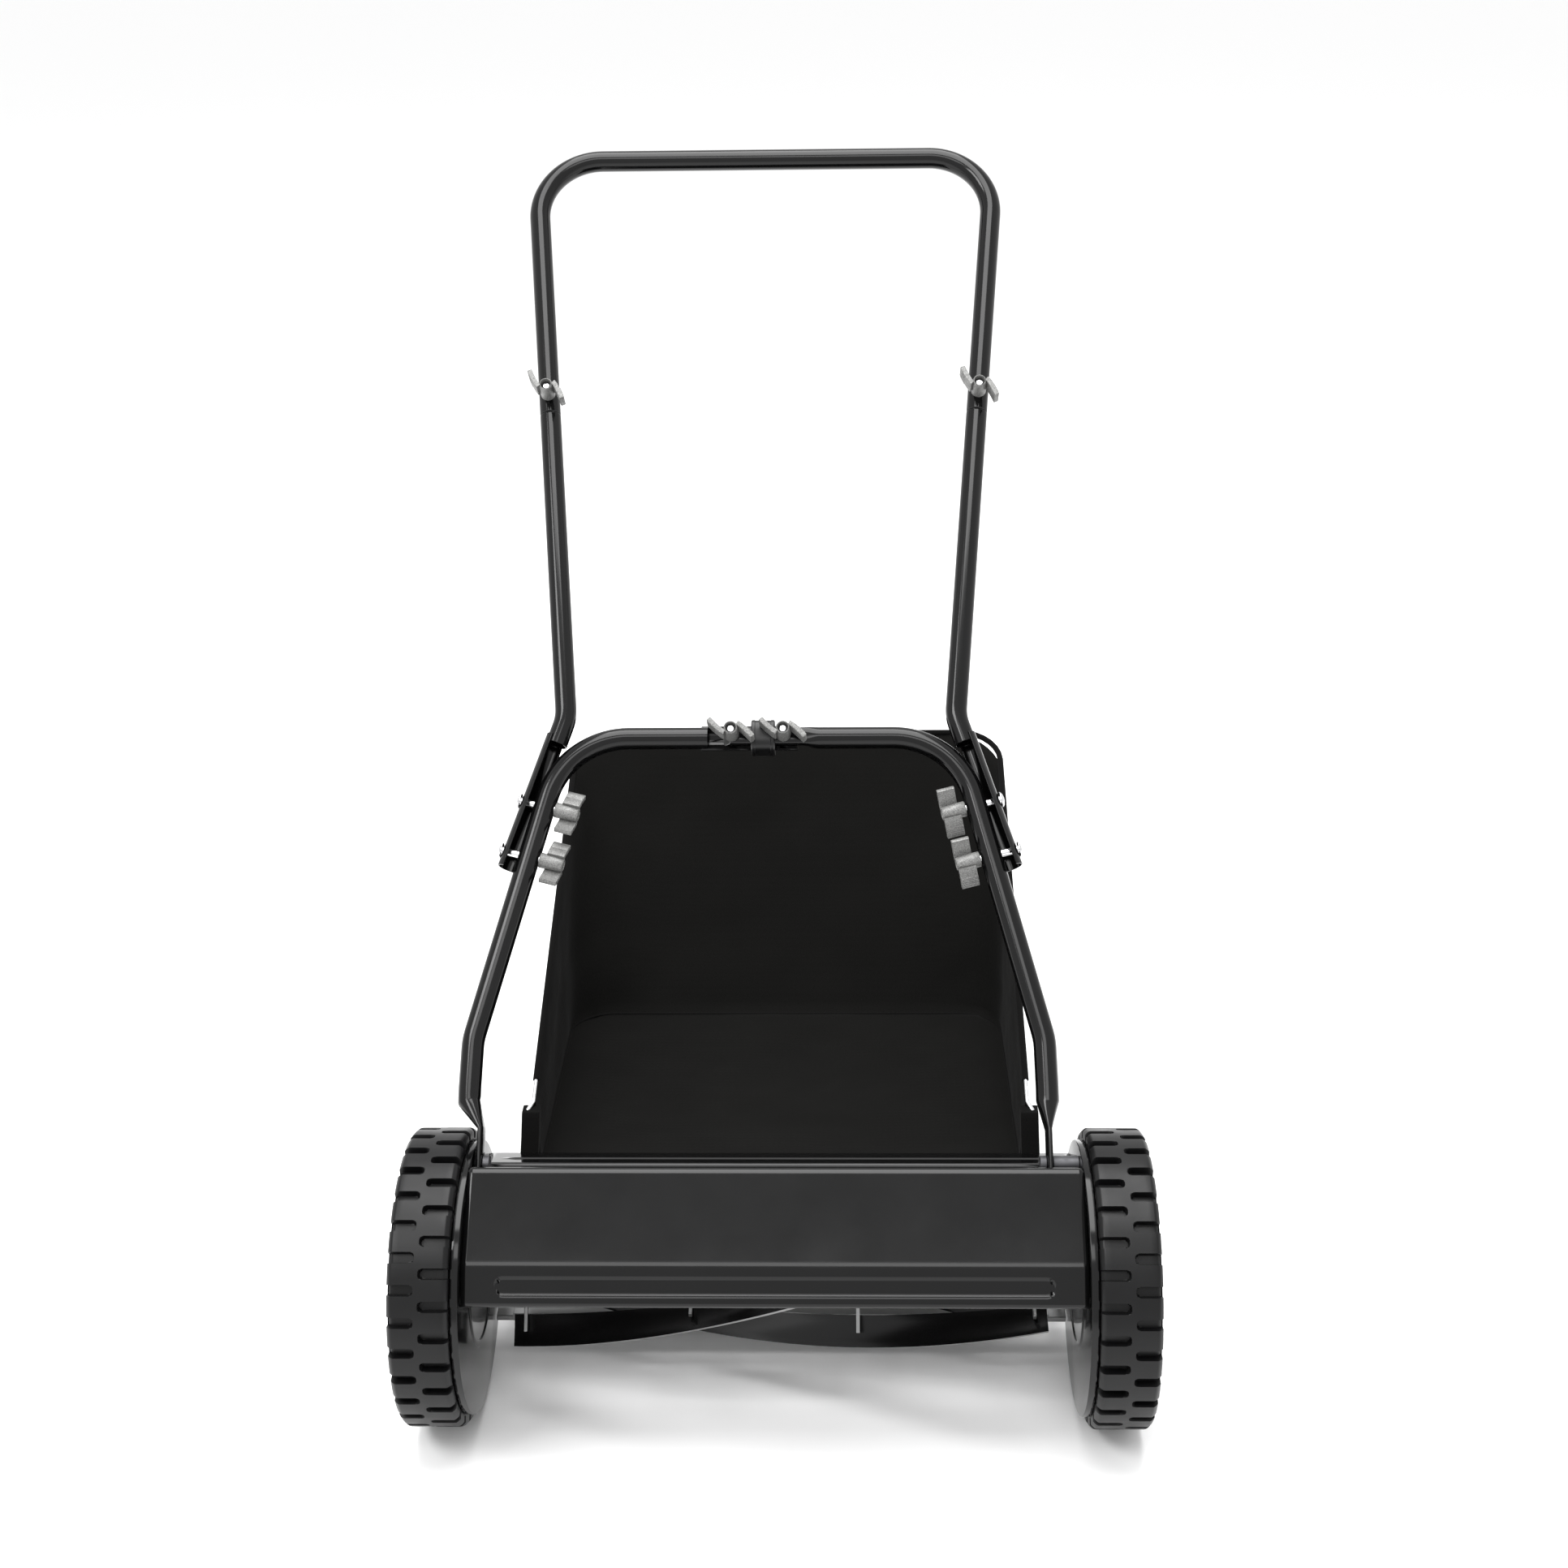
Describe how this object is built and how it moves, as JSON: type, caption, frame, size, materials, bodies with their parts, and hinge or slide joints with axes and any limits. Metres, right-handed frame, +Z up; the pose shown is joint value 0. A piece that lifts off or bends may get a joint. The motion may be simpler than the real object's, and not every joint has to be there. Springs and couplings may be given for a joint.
{
  "type": "reel mower",
  "caption": "Push reel mower: toothed wheels, helical cutting reel under a bent front guard, hinged tube handle with wing nuts, rear roller and open cloth catcher.",
  "frame": {"origin": "centre of the bounding box at ground level", "axes": "+X across the mower, to the right as seen from the front, -Y towards the front, +Z up"},
  "size_m": [0.632, 0.8027, 0.9929],
  "materials": {
    "rubber": "moulded black rubber tread",
    "black_plastic": "moulded black plastic",
    "gear_iron": "dark sintered iron",
    "black_paint": "gloss black powder paint",
    "blade_steel": "black coated steel with a bright cutting edge",
    "grey_steel": "grey zinc plated steel",
    "chrome": "bright plated steel",
    "cast_nut": "light grey speckled casting",
    "cloth": "near-black woven polyester"
  },
  "bodies": {
    "chassis": {"side_plate_left": "black_paint", "side_plate_right": "black_paint", "front_guard": "black_paint", "rear_tie_plate": "black_paint", "catcher_rod": "black_paint", "bed_knife_bar": "grey_steel", "bed_knife_blade": "grey_steel", "reel_bearing_left": "gear_iron", "reel_bearing_right": "gear_iron", "handle_pivot_left": "gear_iron", "handle_pivot_right": "gear_iron"},
    "left_wheel": {"tyre_left": "rubber", "wheel_left": "black_plastic", "hub_cap_left": "black_plastic"},
    "right_wheel": {"tyre_right": "rubber", "wheel_right": "black_plastic", "hub_cap_right": "black_plastic"},
    "reel": {"reel_shaft": "gear_iron", "reel_blade_1": "blade_steel", "reel_blade_2": "blade_steel", "reel_blade_3": "blade_steel", "reel_blade_4": "blade_steel", "reel_blade_5": "blade_steel", "reel_spider_1": "grey_steel", "reel_spider_2": "grey_steel", "reel_spider_3": "grey_steel", "reel_spider_4": "grey_steel", "pawl_left": "gear_iron", "pawl_right": "gear_iron"},
    "left_pinion": {"pinion_left": "gear_iron"},
    "right_pinion": {"pinion_right": "gear_iron"},
    "roller_carriage": {"roller_bracket_left": "black_paint", "roller_bracket_right": "black_paint", "roller_rod": "grey_steel"},
    "roller": {"rear_roller": "black_plastic"},
    "handle": {"lower_handle_left": "black_paint", "lower_handle_right": "black_paint", "middle_handle_left": "black_paint", "middle_handle_right": "black_paint", "upper_handle": "black_paint", "handle_clip": "black_plastic", "upper_bolt_left": "chrome", "upper_bolt_right": "chrome", "centre_bolt_left": "chrome", "centre_bolt_right": "chrome", "lower_bolt_left_top": "chrome", "lower_bolt_left_bottom": "chrome", "lower_bolt_right_top": "chrome", "lower_bolt_right_bottom": "chrome"},
    "upper_nut_left": {"upper_wing_nut_left": "cast_nut"},
    "upper_nut_right": {"upper_wing_nut_right": "cast_nut"},
    "centre_nut_left": {"centre_wing_nut_left": "cast_nut"},
    "centre_nut_right": {"centre_wing_nut_right": "cast_nut"},
    "lower_nut_left_top": {"lower_wing_nut_left_top": "cast_nut"},
    "lower_nut_left_bottom": {"lower_wing_nut_left_bottom": "cast_nut"},
    "lower_nut_right_top": {"lower_wing_nut_right_top": "cast_nut"},
    "lower_nut_right_bottom": {"lower_wing_nut_right_bottom": "cast_nut"},
    "catcher": {"catcher_bag": "cloth", "catcher_frame": "chrome"}
  },
  "joints": [
    {"name": "left_wheel_spin", "type": "hinge", "parent": "chassis", "child": "left_wheel", "pos_m": [-0.29, -0.2742, 0.127], "axis": [1, 0, 0], "continuous": true},
    {"name": "right_wheel_spin", "type": "hinge", "parent": "chassis", "child": "right_wheel", "pos_m": [0.29, -0.2742, 0.127], "axis": [1, 0, 0], "continuous": true},
    {"name": "reel_spin", "type": "hinge", "parent": "chassis", "child": "reel", "pos_m": [0, -0.23798, 0.11729], "axis": [1, 0, 0], "continuous": true},
    {"name": "left_pinion_spin", "type": "hinge", "parent": "chassis", "child": "left_pinion", "pos_m": [-0.279, -0.23798, 0.11729], "axis": [1, 0, 0], "continuous": true},
    {"name": "right_pinion_spin", "type": "hinge", "parent": "chassis", "child": "right_pinion", "pos_m": [0.279, -0.23798, 0.11729], "axis": [1, 0, 0], "continuous": true},
    {"name": "roller_height", "type": "hinge", "parent": "chassis", "child": "roller_carriage", "pos_m": [0, -0.1942, 0.075], "axis": [1, 0, 0], "range_deg": [-15, 25]},
    {"name": "roller_spin", "type": "hinge", "parent": "roller_carriage", "child": "roller", "pos_m": [0, -0.1522, 0.02], "axis": [1, 0, 0], "continuous": true},
    {"name": "handle_fold", "type": "hinge", "parent": "chassis", "child": "handle", "pos_m": [0, -0.2549, 0.2281], "axis": [1, 0, 0], "range_deg": [-10, 65]},
    {"name": "catcher_lift", "type": "hinge", "parent": "chassis", "child": "catcher", "pos_m": [0, -0.1702, 0.1766], "axis": [1, 0, 0], "range_deg": [0, 22]},
    {"name": "upper_nut_turn_left", "type": "hinge", "parent": "handle", "child": "upper_nut_left", "pos_m": [-0.2221, 0.2205, 0.7834], "axis": [0, -0.7597, 0.6503], "continuous": true},
    {"name": "upper_nut_turn_right", "type": "hinge", "parent": "handle", "child": "upper_nut_right", "pos_m": [0.1889, 0.2205, 0.7834], "axis": [0, -0.7597, 0.6503], "continuous": true},
    {"name": "centre_nut_turn_left", "type": "hinge", "parent": "handle", "child": "centre_nut_left", "pos_m": [-0.0426, -0.0038, 0.5215], "axis": [0, -0.7597, 0.6503], "continuous": true},
    {"name": "centre_nut_turn_right", "type": "hinge", "parent": "handle", "child": "centre_nut_right", "pos_m": [0.0044, -0.0038, 0.5215], "axis": [0, -0.7597, 0.6503], "continuous": true},
    {"name": "lower_nut_turn_left_top", "type": "hinge", "parent": "handle", "child": "lower_nut_left_top", "pos_m": [-0.2117, -0.0462, 0.472], "axis": [0.9686, -0.1616, -0.1888], "continuous": true},
    {"name": "lower_nut_turn_left_bottom", "type": "hinge", "parent": "handle", "child": "lower_nut_left_bottom", "pos_m": [-0.2238, -0.0767, 0.4363], "axis": [0.9686, -0.1616, -0.1888], "continuous": true},
    {"name": "lower_nut_turn_right_top", "type": "hinge", "parent": "handle", "child": "lower_nut_right_top", "pos_m": [0.1785, -0.0462, 0.472], "axis": [-0.9686, -0.1616, -0.1888], "continuous": true},
    {"name": "lower_nut_turn_right_bottom", "type": "hinge", "parent": "handle", "child": "lower_nut_right_bottom", "pos_m": [0.1906, -0.0767, 0.4363], "axis": [-0.9686, -0.1616, -0.1888], "continuous": true}
  ],
  "couplings": [
    {"joint": "reel_spin", "follows": "left_wheel_spin", "ratio": 3.5},
    {"joint": "left_pinion_spin", "follows": "left_wheel_spin", "ratio": 3.5},
    {"joint": "right_pinion_spin", "follows": "right_wheel_spin", "ratio": 3.5}
  ]
}
